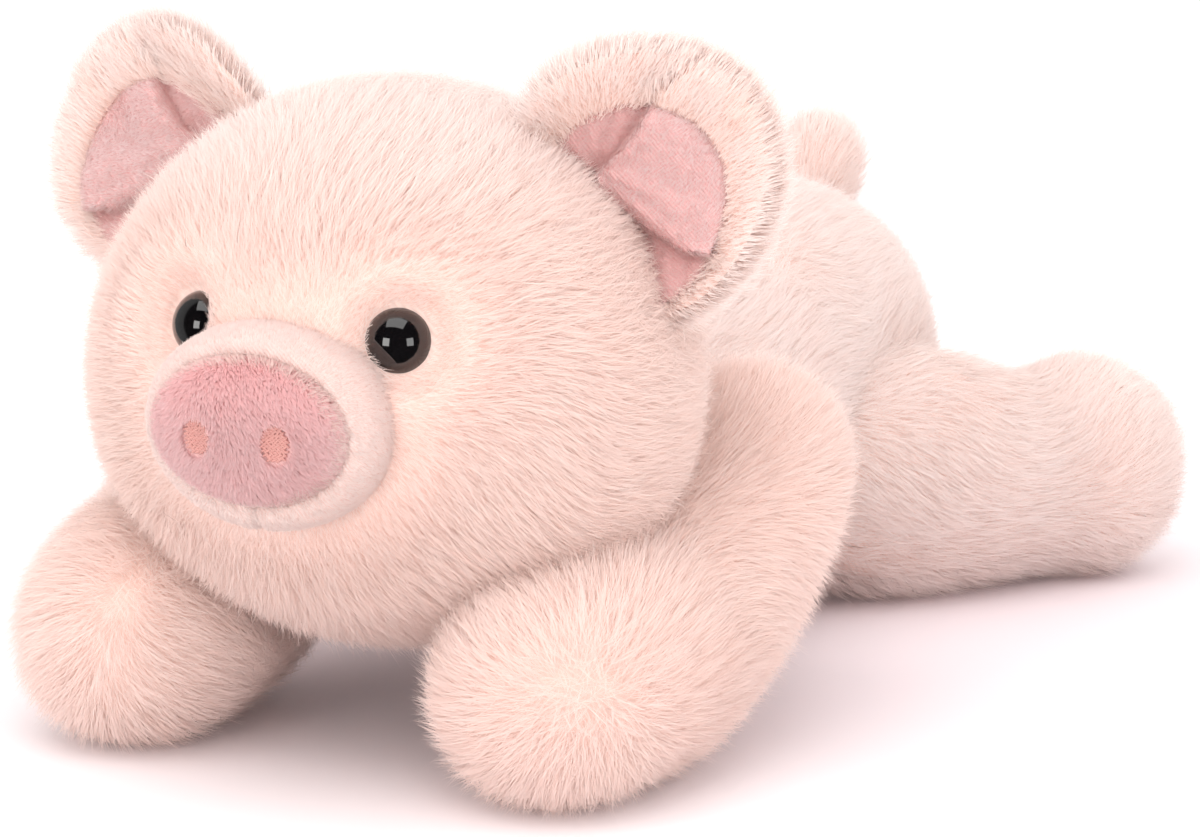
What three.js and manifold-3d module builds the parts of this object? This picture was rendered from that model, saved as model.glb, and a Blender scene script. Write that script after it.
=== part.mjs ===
// A plush pig lying on its belly with its head up, its arms stretched forward and its legs back.
// Millimetres, +Z up. The pig faces -Y and its own left is +X. The origin is on the ground
// under the middle of the trunk. Every cover is a shell of pile fabric round its own stuffing.
import * as THREE from 'three';
import Module from 'manifold-3d';
import { ConvexGeometry } from 'three/addons/geometries/ConvexGeometry.js';
import { mergeVertices } from 'three/addons/utils/BufferGeometryUtils.js';

const wasm = await Module();
wasm.setup();

// Clearances.
const clearance = 0.3; // between two pieces that touch
const sweepClearance = 0.7; // between two pieces that turn past each other
const groundCut = 0.5; // how deep a form is cut flat where it lies on the ground
const overrun = 40; // how far a cutting block runs past what it cuts
const groundOverrun = 320; // how far the ground runs past the trunk, front and rear together

// Fabric, with its pile.
const pileThickness = 8; // long pile on its backing
const shortPileThickness = 4; // short pile of the snout
const liningThickness = 2.4; // short pile of the ears

// Trunk.
const bodyLength = 232;
const bodyWidth = 122;
const bodyHeight = 116;

// Neck: the ball of stuffing on which the head nods and tilts.
const neckInset = 20; // its middle behind the front end of the trunk
const neckForward = bodyLength / 2 - neckInset;
const neckHeight = 74;
const neckRadius = 19;

// Head.
const headWidth = 154;
const headDepth = 122;
const headHeight = 137;
const headBottom = 26; // chin above the ground
const headLead = 61; // middle of the head ahead of the neck
const headForward = neckForward + headLead;

// Arms, lying on the ground.
const shoulderLead = 8; // ahead of the neck
const shoulderForward = neckForward + shoulderLead;
const shoulderOut = 67.5;
const armLength = 80; // shoulder to the middle of the paw
const armWidth = 65;
const armHeight = 60;
const armSplay = -7; // degrees outwards

// Legs, lying on the ground.
const hipBack = 8;
const hipOut = 50;
const legLength = 77; // hip to the middle of the foot
const legWidth = 56;
const legHeight = 68;
const legSplay = 40; // degrees outwards

// Tail: a round stub.
const tailInset = 10; // its root ahead of the rear end of the trunk
const tailBack = bodyLength / 2 - tailInset;
const tailDrop = 23; // its root below the top of the trunk
const tailHeight = bodyHeight - tailDrop;
const tailLength = 34;
const tailWidth = 26;
const tailPileThickness = 6;
const tailLean = 35; // degrees back from upright

// Ears, as seen from the front: each leaf stands on a straight root across the side of the head.
const earRootOut = 51; // middle of the root from the middle of the head
const earRootUp = 35;
const earRootBack = 8;
const earRootWidth = 60;
const earReach = 50; // root to tip
const earThickness = 12;
const earLean = 41; // degrees of the leaf's reach above level
const earCup = 11; // how far the leaf's sides curl forward
const earLiningWidth = 50;
const earLiningReach = 45;

// Snout, measured from the middle of the head.
const snoutWidth = 60;
const snoutHeight = 48;
const snoutStand = 16; // how far it stands out ahead of the front of the head
const snoutReach = headDepth / 2 + snoutStand;
const snoutLength = 33; // how much of it stands on the form, root included
const snoutDrop = 4;
const nosePadDepth = 7; // how far the pink pad reaches back from the front

// Nostrils: ovals of satin stitch.
const nostrilOut = 10;
const nostrilDrop = 1;
const nostrilWidth = 7;
const nostrilHeight = 8.6;
const stitchThickness = 1;

// Eyes: domes on posts, held from inside by washers.
const eyeRadius = 8;
const eyeDomeHeight = 7;
const eyeOut = 26;
const eyeUp = 15.5;
const eyeInset = 16.5; // rim behind the front of the head
const eyeFront = headDepth / 2 - eyeInset;
const eyeHollowRadius = 20; // of the hollow that its washer draws into the head round it
const eyeHollowStand = 5.3; // bottom of that hollow, in the pile, ahead of the rim
const eyeSocketGap = 0.6;
const eyeTurn = 25; // degrees outwards from straight ahead
const eyeRise = 16; // degrees upwards
const eyePostRadius = 2.4;
const eyePostLength = 13;
const backingThickness = 2; // fabric left between the eye and its washer
const washerRadius = 7;
const washerThickness = 1.6;

// Seams on which the limbs swing, as places above the ground plane.
const armSeamOut = 52;
const armSeamInset = 16; // behind the shoulder
const armSeamForward = shoulderForward - armSeamInset;
const legSeamOut = 56;
const legSeamInset = 8; // behind the hip
const legSeamBack = hipBack + legSeamInset;

// Ranges of the joints, in degrees, which the pieces are cut to clear.
const nodRange = [0, 15];
const tiltRange = [-8, 8];
const armRange = [0, 35];
const legRange = [-12, 20];
const tailRange = [-20, 20];
const earRange = [-12, 12];

// How finely forms are faceted and ranges are stepped, in counts.
const formSides = 20;
const limbSides = 16;
const innerSides = 10;
const roundSteps = 16;
const ballSteps = 20;
const domeSteps = 5;
const sweepSteps = 3;
const shortSweepSteps = 2;

// How square the trunk's section is: 2 would be an ellipse.
const bodyFullness = 2.2;

// Finishes.
const fur = { color: '#f8ddd2', roughness: 0.95, metalness: 0 };
const paleFur = { color: '#fae5dc', roughness: 0.95, metalness: 0 };
const pinkPile = { color: '#e9a5a8', roughness: 0.9, metalness: 0 };
const earPile = { color: '#eab9b8', roughness: 0.9, metalness: 0 };
const thread = { color: '#f0a08c', roughness: 0.6, metalness: 0 };
const filling = { color: '#f4f2ee', roughness: 1, metalness: 0 };
const eyePlastic = { color: '#0b0a0b', roughness: 0.06, metalness: 0 };
const washerPlastic = { color: '#e8e6df', roughness: 0.5, metalness: 0 };

const up = new THREE.Vector3(0, 0, 1);
const left = new THREE.Vector3(1, 0, 0);
const back = new THREE.Vector3(0, 1, 0);
const radians = THREE.MathUtils.degToRad;

// A closed skin through rings. Each ring has its middle and two half axes, and the first
// and the last are poles. Its fullness is 2 for an ellipse and more for a squarer section.
function skin(rings, sides, fullness = 2) {
  const points = [];
  const faces = [];
  const bulge = 2 / fullness;
  const lastRing = rings.length - 2;
  points.push(...rings[0].middle.toArray());
  for (const { middle, across, upright } of rings.slice(1, -1)) {
    for (let side = 0; side < sides; side++) {
      const turn = (side / sides) * 2 * Math.PI;
      const c = Math.sign(Math.cos(turn)) * Math.abs(Math.cos(turn)) ** bulge;
      const s = Math.sign(Math.sin(turn)) * Math.abs(Math.sin(turn)) ** bulge;
      const point = middle.clone().addScaledVector(across, c).addScaledVector(upright, s);
      points.push(...point.toArray());
    }
  }
  points.push(...rings.at(-1).middle.toArray());
  const end = points.length / 3 - 1;
  for (let side = 0; side < sides; side++) {
    const next = (side + 1) % sides;
    faces.push(0, 1 + next, 1 + side);
    for (let row = 0; row < lastRing - 1; row++) {
      const here = 1 + row * sides;
      const beyond = here + sides;
      faces.push(here + side, here + next, beyond + next);
      faces.push(here + side, beyond + next, beyond + side);
    }
    const last = 1 + (lastRing - 1) * sides;
    faces.push(end, last + side, last + next);
  }
  const geometry = new THREE.BufferGeometry();
  geometry.setAttribute('position', new THREE.Float32BufferAttribute(points, 3));
  geometry.setIndex(faces);
  return facingOut(geometry);
}

// Turns a closed geometry's faces to point outwards, whichever side it was built for.
function facingOut(geometry) {
  const { array } = geometry.attributes.position;
  const faces = Array.from(geometry.index.array);
  const a = new THREE.Vector3();
  const b = new THREE.Vector3();
  const c = new THREE.Vector3();
  let volume = 0;
  for (let i = 0; i < faces.length; i += 3) {
    a.fromArray(array, faces[i] * 3);
    b.fromArray(array, faces[i + 1] * 3);
    c.fromArray(array, faces[i + 2] * 3);
    volume += a.dot(b.cross(c));
  }
  if (volume < 0) {
    for (let i = 0; i < faces.length; i += 3) {
      faces.splice(i, 3, faces[i], faces[i + 2], faces[i + 1]);
    }
    geometry.setIndex(faces);
  }
  return geometry;
}

// Moves every point of a skin along its normal: outwards, or inwards if by is negative.
function grown(geometry, by) {
  const moved = geometry.clone();
  moved.computeVertexNormals();
  const { position, normal } = moved.attributes;
  for (let i = 0; i < position.count; i++) {
    position.setXYZ(
      i,
      position.getX(i) + by * normal.getX(i),
      position.getY(i) + by * normal.getY(i),
      position.getZ(i) + by * normal.getZ(i),
    );
  }
  moved.deleteAttribute('normal');
  return moved;
}

// A closed geometry as a solid that can be cut and joined.
function solid(geometry) {
  const bare = geometry.clone();
  bare.deleteAttribute('normal');
  bare.deleteAttribute('uv');
  const merged = mergeVertices(bare);
  const vertProperties = Float32Array.from(merged.attributes.position.array);
  const triVerts = Uint32Array.from(merged.index.array);
  return new wasm.Manifold(new wasm.Mesh({ numProp: 3, vertProperties, triVerts }));
}

// The geometry of a solid after its cuts.
function shapeOf(cutSolid) {
  const { vertProperties, triVerts } = cutSolid.getMesh();
  const geometry = new THREE.BufferGeometry();
  geometry.setAttribute('position', new THREE.BufferAttribute(vertProperties, 3));
  geometry.setIndex(new THREE.BufferAttribute(triVerts, 1));
  geometry.computeVertexNormals();
  return geometry;
}

// Turns a geometry about an axis through a point.
function turned(geometry, about, axis, degrees) {
  return geometry
    .clone()
    .translate(-about.x, -about.y, -about.z)
    .applyMatrix4(new THREE.Matrix4().makeRotationAxis(axis, radians(degrees)))
    .translate(about.x, about.y, about.z);
}

// The angles at which a range is cut clear, its ends and evenly between.
function anglesOf([least, most], steps) {
  return Array.from({ length: steps + 1 }, (_, i) => least + ((most - least) * i) / steps);
}

// Cuts from a moving piece what would run into a still one as it turns through its range.
function clearedOf(moving, still, about, axis, range, steps) {
  let rest = moving;
  for (const degrees of anglesOf(range, steps)) {
    rest = rest.subtract(solid(turned(still, about, axis, -degrees)));
  }
  return rest;
}

function mesh(name, geometry, finish) {
  const piece = new THREE.Mesh(geometry, new THREE.MeshStandardMaterial(finish));
  piece.name = name;
  return piece;
}

const groundSpan = bodyLength + groundOverrun;
const ground = solid(
  new THREE.BoxGeometry(groundSpan, groundSpan, overrun).translate(0, 0, -overrun / 2),
);

// Trunk: shares of the length from the middle to the rear, of the width, of the height, and
// of the height that the underside rises.
const bodyShares = [
  [-1, 0, 0, 0.5],
  [-0.95, 0.4, 0.4, 0.3],
  [-0.82, 0.68, 0.66, 0.14],
  [-0.58, 0.88, 0.84, 0.04],
  [-0.25, 0.98, 0.95, 0],
  [0.1, 1, 1, 0],
  [0.42, 1, 0.99, 0],
  [0.7, 0.87, 0.92, 0.01],
  [0.88, 0.62, 0.73, 0.09],
  [0.97, 0.34, 0.43, 0.23],
  [1, 0, 0, 0.44],
];

function bodyRings() {
  return bodyShares.map(([along, width, height, rise]) => ({
    middle: new THREE.Vector3(
      0,
      (along * bodyLength) / 2,
      (rise + height / 2) * bodyHeight - groundCut,
    ),
    across: left.clone().multiplyScalar((width * bodyWidth) / 2),
    upright: up.clone().multiplyScalar((height * bodyHeight) / 2),
  }));
}

// Head: shares of the height from the chin, of the width, of the depth, and of the depth
// that the ring stands forward.
const headShares = [
  [0, 0, 0, 0.02],
  [0.05, 0.42, 0.42, 0.02],
  [0.15, 0.74, 0.72, 0.02],
  [0.28, 0.93, 0.9, 0.015],
  [0.42, 1, 0.99, 0.01],
  [0.57, 0.99, 1, 0],
  [0.72, 0.89, 0.92, -0.01],
  [0.86, 0.68, 0.72, -0.02],
  [0.96, 0.38, 0.41, -0.02],
  [1, 0, 0, -0.02],
];

function headRings() {
  return headShares.map(([height, width, depth, forward]) => ({
    middle: new THREE.Vector3(0, -forward * headDepth, (height - 1 / 2) * headHeight),
    across: left.clone().multiplyScalar((width * headWidth) / 2),
    upright: back.clone().multiplyScalar((depth * headDepth) / 2),
  }));
}

// A limb on the ground: shares of its length from its root, of its width, of its height, and
// of the height that its underside rises.
const armShares = [
  [-0.4, 0, 0, 1.12],
  [-0.34, 0.44, 0.42, 0.9],
  [-0.18, 0.76, 0.8, 0.66],
  [0.06, 0.94, 1.02, 0.42],
  [0.34, 0.98, 1.08, 0.14],
  [0.64, 1, 1.02, 0],
  [0.92, 0.98, 0.98, 0],
  [1.14, 0.84, 0.86, 0.02],
  [1.29, 0.56, 0.6, 0.14],
  [1.35, 0.28, 0.32, 0.28],
  [1.37, 0, 0, 0.46],
];
const legShares = [
  [-0.42, 0, 0, 0.6],
  [-0.34, 0.5, 0.5, 0.34],
  [-0.12, 0.86, 0.9, 0.1],
  [0.2, 1, 1.04, 0],
  [0.55, 0.96, 0.97, 0.01],
  [0.85, 0.95, 0.94, 0.01],
  [1.1, 0.93, 0.93, 0],
  [1.34, 0.66, 0.68, 0.12],
  [1.43, 0.34, 0.36, 0.28],
  [1.46, 0, 0, 0.46],
];

function limbRings(root, heading, length, width, height, shares) {
  const sideways = heading.clone().cross(up);
  return shares.map(([along, widthShare, heightShare, rise]) => ({
    middle: root
      .clone()
      .addScaledVector(heading, along * length)
      .addScaledVector(up, (rise + heightShare / 2) * height - groundCut),
    across: sideways.clone().multiplyScalar((widthShare * width) / 2),
    upright: up.clone().multiplyScalar((heightShare * height) / 2),
  }));
}

// Tail: shares of its length from its root, and of its width.
const tailShares = [
  [-0.56, 0],
  [-0.46, 0.5],
  [-0.16, 0.78],
  [0.16, 0.86],
  [0.46, 0.98],
  [0.74, 0.93],
  [0.92, 0.6],
  [1, 0],
];

function tailRings(root, heading) {
  const sideways = heading.clone().cross(left);
  return tailShares.map(([along, width]) => ({
    middle: root.clone().addScaledVector(heading, along * tailLength),
    across: left.clone().multiplyScalar((width * tailWidth) / 2),
    upright: sideways.clone().multiplyScalar((width * tailWidth) / 2),
  }));
}

// How far forward of the leaf's middle its lining lies, as a share of the leaf's thickness.
const earLiningForwardShare = 0.42;

// Ear: shares of its reach from its root, of its root's width on either side, and of its
// thickness.
const earShares = [
  [-0.1, 0, 0],
  [-0.04, 0.8, 0.55],
  [0.18, 1.06, 0.8],
  [0.42, 1.1, 1],
  [0.66, 0.98, 0.95],
  [0.86, 0.7, 0.75],
  [0.97, 0.34, 0.42],
  [1, 0, 0],
];

function earRings(width, reach, thickness) {
  return earShares.map(([along, widthShare, thicknessShare]) => ({
    middle: new THREE.Vector3(0, 0, along * reach),
    across: left.clone().multiplyScalar((widthShare * width) / 2),
    upright: back.clone().multiplyScalar((thicknessShare * thickness) / 2),
  }));
}

// Curls the sides of an ear's leaf forward, the more the further they are from its middle.
function cupped(geometry) {
  const { position } = geometry.attributes;
  for (let i = 0; i < position.count; i++) {
    const share = position.getX(i) / (earRootWidth / 2);
    position.setY(i, position.getY(i) - earCup * share * share);
  }
  return geometry;
}

// Snout: shares of its length back from its front, of its width and of its height.
const snoutShares = [
  [0, 0, 0],
  [0.02, 0.3, 0.28],
  [0.09, 0.58, 0.56],
  [0.17, 0.77, 0.73],
  [0.27, 0.91, 0.89],
  [0.44, 0.99, 0.99],
  [0.68, 1, 1],
  [0.97, 0.95, 0.95],
  [1, 0, 0],
];

function snoutRings() {
  return snoutShares.map(([along, width, height]) => ({
    middle: new THREE.Vector3(0, -snoutReach + along * snoutLength, -snoutDrop),
    across: left.clone().multiplyScalar((width * snoutWidth) / 2),
    upright: up.clone().multiplyScalar((height * snoutHeight) / 2),
  }));
}

// Turned geometry, then moved: the place of a piece that is built round its own middle.
function placed(geometry, turn, place) {
  return geometry.clone().applyQuaternion(turn).translate(...place.toArray());
}

// A cover is the outer form less the room for its stuffing.
function coverOf(outer, inner, thickness) {
  return solid(outer).subtract(solid(grown(inner, -thickness)));
}

// Stuffing fills its cover but for the clearance.
function stuffingOf(inner, thickness) {
  return solid(grown(inner, -thickness - clearance));
}

const pig = new THREE.Group();
const head = new THREE.Group();
const headMiddle = new THREE.Vector3(0, -headForward, headBottom + headHeight / 2);
head.position.copy(headMiddle);
pig.add(head);

// Head and trunk forms, which the smaller pieces are cut to clear.
const headForm = skin(headRings(), formSides);
const bodyForm = skin(bodyRings(), formSides, bodyFullness);
const bodyRoom = grown(bodyForm, sweepClearance);

// Neck: a ball of stuffing gathered in the seam between trunk and head. Its room is larger by
// the clearance, and by what its facets stand inside a true ball.
const neckMiddle = new THREE.Vector3(0, -neckForward, neckHeight);
const facetShare = Math.cos(Math.PI / ballSteps) ** 2;

function ball(radius) {
  return new THREE.SphereGeometry(radius, ballSteps, ballSteps / 2);
}

const neckRoom = ball((neckRadius + clearance) / facetShare).translate(...neckMiddle.toArray());

// The room that the head takes as it nods and tilts on the neck: the hull of its poses.
function headRoom() {
  const roomy = grown(headForm, sweepClearance).translate(...headMiddle.toArray());
  const points = [];
  for (const nod of anglesOf(nodRange, sweepSteps)) {
    for (const tilt of anglesOf(tiltRange, shortSweepSteps)) {
      const tilted = turned(roomy, neckMiddle, back, tilt);
      const { position } = turned(tilted, neckMiddle, left, -nod).attributes;
      for (let i = 0; i < position.count; i++) {
        points.push(new THREE.Vector3().fromBufferAttribute(position, i));
      }
    }
  }
  return new ConvexGeometry(points);
}

const headSpace = headRoom();

// Trunk: a cover of long pile, open at the neck, round its stuffing.
function trunk() {
  const inner = skin(bodyRings(), innerSides, bodyFullness);
  const room = solid(headSpace).add(solid(neckRoom));
  const cover = coverOf(bodyForm, inner, pileThickness).subtract(ground).subtract(room);
  pig.add(
    mesh('body_cover', shapeOf(cover), fur),
    mesh('body_stuffing', shapeOf(stuffingOf(inner, pileThickness).subtract(room)), filling),
    mesh('neck_stuffing', ball(neckRadius).translate(...neckMiddle.toArray()), filling),
  );
}

// Arm or leg: a cover, open where it is sewn to the trunk, round its stuffing. It swings
// outwards on its seam, clear of the trunk and, for an arm, of the head.
function limb(name, rings, seam, outwards, range, neighbours) {
  const outer = skin(rings, limbSides);
  const inner = skin(rings, innerSides);
  let cover = coverOf(outer, inner, pileThickness).subtract(ground);
  let stuffing = stuffingOf(inner, pileThickness);
  for (const neighbour of neighbours) {
    cover = clearedOf(cover, neighbour, seam, outwards, range, sweepSteps);
    stuffing = clearedOf(stuffing, neighbour, seam, outwards, range, sweepSteps);
  }
  const [kind, side] = name;
  pig.add(
    mesh(`${kind}_cover_${side}`, shapeOf(cover), fur),
    mesh(`${kind}_stuffing_${side}`, shapeOf(stuffing), filling),
  );
}

function arm(side, way) {
  const splay = radians(armSplay);
  const root = new THREE.Vector3(way * shoulderOut, -shoulderForward, 0);
  const heading = new THREE.Vector3(way * Math.sin(splay), -Math.cos(splay), 0);
  const rings = limbRings(root, heading, armLength, armWidth, armHeight, armShares);
  const seam = new THREE.Vector3(way * armSeamOut, -armSeamForward, 0);
  const outwards = up.clone().multiplyScalar(way);
  limb(['arm', side], rings, seam, outwards, armRange, [bodyRoom, headSpace]);
}

function leg(side, way) {
  const splay = radians(legSplay);
  const root = new THREE.Vector3(way * hipOut, hipBack, 0);
  const heading = new THREE.Vector3(way * Math.sin(splay), Math.cos(splay), 0);
  const rings = limbRings(root, heading, legLength, legWidth, legHeight, legShares);
  const seam = new THREE.Vector3(way * legSeamOut, legSeamBack, 0);
  const outwards = up.clone().multiplyScalar(-way);
  limb(['leg', side], rings, seam, outwards, legRange, [bodyRoom]);
}

// Tail: a stuffed stub that wags on its root.
function tail() {
  const lean = radians(tailLean);
  const root = new THREE.Vector3(0, tailBack, tailHeight);
  const heading = new THREE.Vector3(0, Math.sin(lean), Math.cos(lean));
  const wag = heading.clone().cross(left).negate();
  const rings = tailRings(root, heading);
  const inner = skin(rings, innerSides);
  const cover = coverOf(skin(rings, limbSides), inner, tailPileThickness);
  const stuffing = stuffingOf(inner, tailPileThickness);
  const clear = (piece) =>
    shapeOf(clearedOf(piece, bodyRoom, root, wag, tailRange, shortSweepSteps));
  pig.add(mesh('tail_cover', clear(cover), fur), mesh('tail_stuffing', clear(stuffing), filling));
}

// An eye's place in the head: the middle of its rim, and the way it looks.
function eyeSeat(way) {
  const outwards = radians(eyeTurn);
  const rise = radians(eyeRise);
  const look = new THREE.Vector3(
    way * Math.sin(outwards) * Math.cos(rise),
    -Math.cos(outwards) * Math.cos(rise),
    Math.sin(rise),
  );
  return {
    place: new THREE.Vector3(way * eyeOut, -eyeFront, eyeUp),
    turn: new THREE.Quaternion().setFromUnitVectors(back, look),
  };
}

// A disc or post along an eye's own axis, from one place on it to another.
function onAxis(radius, from, to) {
  return new THREE.CylinderGeometry(radius, radius, to - from, roundSteps).translate(
    0,
    (from + to) / 2,
    0,
  );
}

const washerFront = -backingThickness - clearance;
const washerBack = washerFront - washerThickness;

// What an eye, its post and its washer take out of the cover and the stuffing.
function eyeRoom(way) {
  const { place, turn } = eyeSeat(way);
  const socket = onAxis(eyeRadius + eyeSocketGap, -clearance, overrun);
  const post = onAxis(eyePostRadius + clearance, -eyePostLength - clearance, 0);
  const washer = onAxis(washerRadius + clearance, washerBack - clearance, washerFront + clearance);
  return [socket, post, washer]
    .map((geometry) => solid(placed(geometry, turn, place)))
    .reduce((room, piece) => room.add(piece));
}

// The hollow round an eye, at a depth below the surface of the pile.
function eyeHollow(way, depth) {
  const { place, turn } = eyeSeat(way);
  const hollow = ball(eyeHollowRadius + depth).translate(0, eyeHollowRadius + eyeHollowStand, 0);
  return solid(placed(hollow, turn, place));
}

function eye(side, way) {
  const dome = Array.from({ length: domeSteps + 1 }, (_, i) => {
    const turn = ((i / domeSteps) * Math.PI) / 2;
    return new THREE.Vector2(eyeRadius * Math.sin(turn), eyeDomeHeight * Math.cos(turn));
  });
  const post = [
    new THREE.Vector2(eyePostRadius, 0),
    new THREE.Vector2(eyePostRadius, -eyePostLength),
    new THREE.Vector2(0, -eyePostLength),
  ];
  const hole = eyePostRadius + clearance;
  const ring = [
    new THREE.Vector2(hole, washerBack),
    new THREE.Vector2(washerRadius, washerBack),
    new THREE.Vector2(washerRadius, washerFront),
    new THREE.Vector2(hole, washerFront),
    new THREE.Vector2(hole, washerBack),
  ];
  const { place, turn } = eyeSeat(way);
  for (const [name, profile, finish] of [
    [`eye_${side}`, [...dome, ...post].reverse(), eyePlastic],
    [`eye_washer_${side}`, ring, washerPlastic],
  ]) {
    const piece = mesh(name, new THREE.LatheGeometry(profile, roundSteps), finish);
    piece.position.copy(place);
    piece.quaternion.copy(turn);
    head.add(piece);
  }
}

// Head: a cover drawn in round the eyes, with their sockets, open at the neck, round its stuffing.
function headShell() {
  const inner = skin(headRings(), innerSides);
  const hollowed = (form, depth) => form.subtract(eyeHollow(1, depth)).subtract(eyeHollow(-1, depth));
  const neckHere = neckRoom.clone().translate(...headMiddle.clone().negate().toArray());
  const room = solid(neckHere).add(eyeRoom(1)).add(eyeRoom(-1));
  const cover = hollowed(solid(headForm), 0).subtract(
    hollowed(solid(grown(inner, -pileThickness)), pileThickness),
  );
  const stuffing = hollowed(stuffingOf(inner, pileThickness), pileThickness + clearance);
  head.add(
    mesh('head_cover', shapeOf(cover.subtract(room)), fur),
    mesh('head_stuffing', shapeOf(stuffing.subtract(room)), filling),
  );
}

// Snout: a band of short pile sewn to the front of the head, a pink pad and their stuffing.
function snout() {
  const outer = skin(snoutRings(), formSides);
  const inner = skin(snoutRings(), innerSides);
  const seamAt = -snoutReach + nosePadDepth;
  const front = solid(
    new THREE.BoxGeometry(snoutWidth + overrun, overrun, snoutHeight + overrun).translate(
      0,
      seamAt - overrun / 2,
      -snoutDrop,
    ),
  );
  const shell = coverOf(outer, inner, shortPileThickness);
  const headHere = solid(grown(headForm, clearance));
  const band = shell.subtract(front.translate([0, clearance, 0])).subtract(headHere);
  const stuffing = stuffingOf(inner, shortPileThickness).subtract(headHere);
  head.add(
    mesh('snout_band', shapeOf(band), paleFur),
    mesh('nose_pad', shapeOf(shell.intersect(front)), pinkPile),
    mesh('snout_stuffing', shapeOf(stuffing), filling),
  );
  for (const [side, way] of sides) {
    head.add(mesh(`nostril_${side}`, shapeOf(nostril(outer, way)), thread));
  }
}

// Nostril: an oval patch of stitches that lies on the pad.
function nostril(snoutForm, way) {
  const oval = new THREE.CylinderGeometry(1, 1, 1, roundSteps)
    .scale(nostrilWidth / 2, snoutLength, nostrilHeight / 2)
    .translate(way * nostrilOut, -snoutReach, -snoutDrop - nostrilDrop);
  return solid(oval)
    .intersect(solid(grown(snoutForm, clearance + stitchThickness)))
    .subtract(solid(grown(snoutForm, clearance)));
}

// Ear: a stuffed leaf of long pile with a lining of short pile let into its front. It bends on
// its straight root, which lies inside the head's form.
function ear(side, way) {
  const group = new THREE.Group();
  group.position.set(way * earRootOut, earRootBack, earRootUp);
  group.rotation.y = way * radians(90 - earLean);
  group.updateMatrix();
  head.add(group);
  const headHere = grown(headForm, sweepClearance).applyMatrix4(group.matrix.clone().invert());
  const root = new THREE.Vector3();
  const leaf = cupped(skin(earRings(earRootWidth, earReach, earThickness), limbSides));
  const lining = cupped(
    skin(earRings(earLiningWidth, earLiningReach, 2 * liningThickness), limbSides),
  ).translate(0, -earThickness * earLiningForwardShare, 0);
  const backPiece = solid(leaf).subtract(solid(grown(lining, clearance)));
  const clear = (piece) =>
    shapeOf(clearedOf(piece, headHere, root, left, earRange, shortSweepSteps));
  group.add(
    mesh(`ear_back_${side}`, clear(backPiece), fur),
    mesh(`ear_lining_${side}`, clear(solid(lining)), earPile),
  );
}

const sides = [
  ['left', 1],
  ['right', -1],
];

trunk();
tail();
headShell();
snout();
for (const [side, way] of sides) {
  arm(side, way);
  leg(side, way);
  eye(side, way);
  ear(side, way);
}

export default pig;
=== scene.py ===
import math

import bpy
import numpy as np
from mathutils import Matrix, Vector
from mathutils.bvhtree import BVHTree


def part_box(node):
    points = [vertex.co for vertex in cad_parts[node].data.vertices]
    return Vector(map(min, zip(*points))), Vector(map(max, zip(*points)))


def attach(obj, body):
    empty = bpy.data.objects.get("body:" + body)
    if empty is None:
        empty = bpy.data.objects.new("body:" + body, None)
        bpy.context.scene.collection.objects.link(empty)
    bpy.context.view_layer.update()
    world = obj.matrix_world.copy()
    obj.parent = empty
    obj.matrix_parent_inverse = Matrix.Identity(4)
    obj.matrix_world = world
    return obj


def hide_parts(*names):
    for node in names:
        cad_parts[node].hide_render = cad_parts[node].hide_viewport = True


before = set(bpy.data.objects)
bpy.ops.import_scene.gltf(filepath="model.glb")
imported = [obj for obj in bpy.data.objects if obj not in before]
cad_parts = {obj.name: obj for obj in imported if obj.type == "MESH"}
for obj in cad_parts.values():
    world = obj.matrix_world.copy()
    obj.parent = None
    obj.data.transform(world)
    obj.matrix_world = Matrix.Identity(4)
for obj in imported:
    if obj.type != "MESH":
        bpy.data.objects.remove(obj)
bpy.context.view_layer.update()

mm = 0.001

# The camera stands ahead of the toy and to its own left, a little above it, as far off as a
# portrait lens wants. It looks at the chest.
camera_azimuth = math.radians(26)
camera_elevation = math.radians(12)
camera_distance = 900 * mm
camera_aim = Vector((0, -60, 62)) * mm
aim_right, aim_up = 8.4 * mm, -0.5 * mm
half_view = math.radians(10.25)
sensor_width = 36

back = Vector((
    math.sin(camera_azimuth) * math.cos(camera_elevation),
    -math.cos(camera_azimuth) * math.cos(camera_elevation),
    math.sin(camera_elevation),
))
right = Vector((math.cos(camera_azimuth), math.sin(camera_azimuth), 0))
eye_point = camera_aim + back * camera_distance
aim_point = camera_aim + right * aim_right + back.cross(right) * aim_up
bpy.ops.object.camera_add(location=eye_point)
camera = bpy.context.object
camera.rotation_euler = (aim_point - eye_point).to_track_quat("-Z", "Y").to_euler()
camera.data.sensor_width = sensor_width
camera.data.lens = sensor_width / 2 / math.tan(half_view)
bpy.context.scene.camera = camera

# The studio: a white floor that runs out of sight, painted pinker near the toy as shade that tints
# and deepens its shadows there, a white surround, a large soft box above and a strip on either side.
# A mirror would see a dark room round the camera and white paper beyond it: the surround is dimmed
# for glossy rays, and the floor shows them a painted reflection, a dim glow that is no lamp.


class Wire:
    """A node's socket, with operators that add Math nodes."""

    def __init__(self, tree, socket):
        self.tree = tree
        self.socket = socket

    def with_other(self, operation, other):
        return node(self.tree, "ShaderNodeMath", {"operation": operation}, {0: self, 1: other})

    def __add__(self, other):
        return self.with_other("ADD", other)

    __radd__ = __add__

    def __mul__(self, other):
        return self.with_other("MULTIPLY", other)

    __rmul__ = __mul__


def node(tree, kind, settings=None, inputs=None, output=0):
    """Any node, its settings first and then the values or links of its sockets."""
    made = tree.nodes.new(kind)
    for key, value in (settings or {}).items():
        if key == "stops":
            ramp = made.color_ramp
            while len(ramp.elements) < len(value):
                ramp.elements.new(1)
            for element, (position, colour) in zip(ramp.elements, value):
                element.position = position
                element.color = (*colour, 1)
        else:
            setattr(made, key, value)
    for key, value in (inputs or {}).items():
        if isinstance(value, Wire):
            tree.links.new(value.socket, made.inputs[key])
        else:
            made.inputs[key].default_value = value
    return Wire(tree, made.outputs[output]) if len(made.outputs) else None


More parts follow.
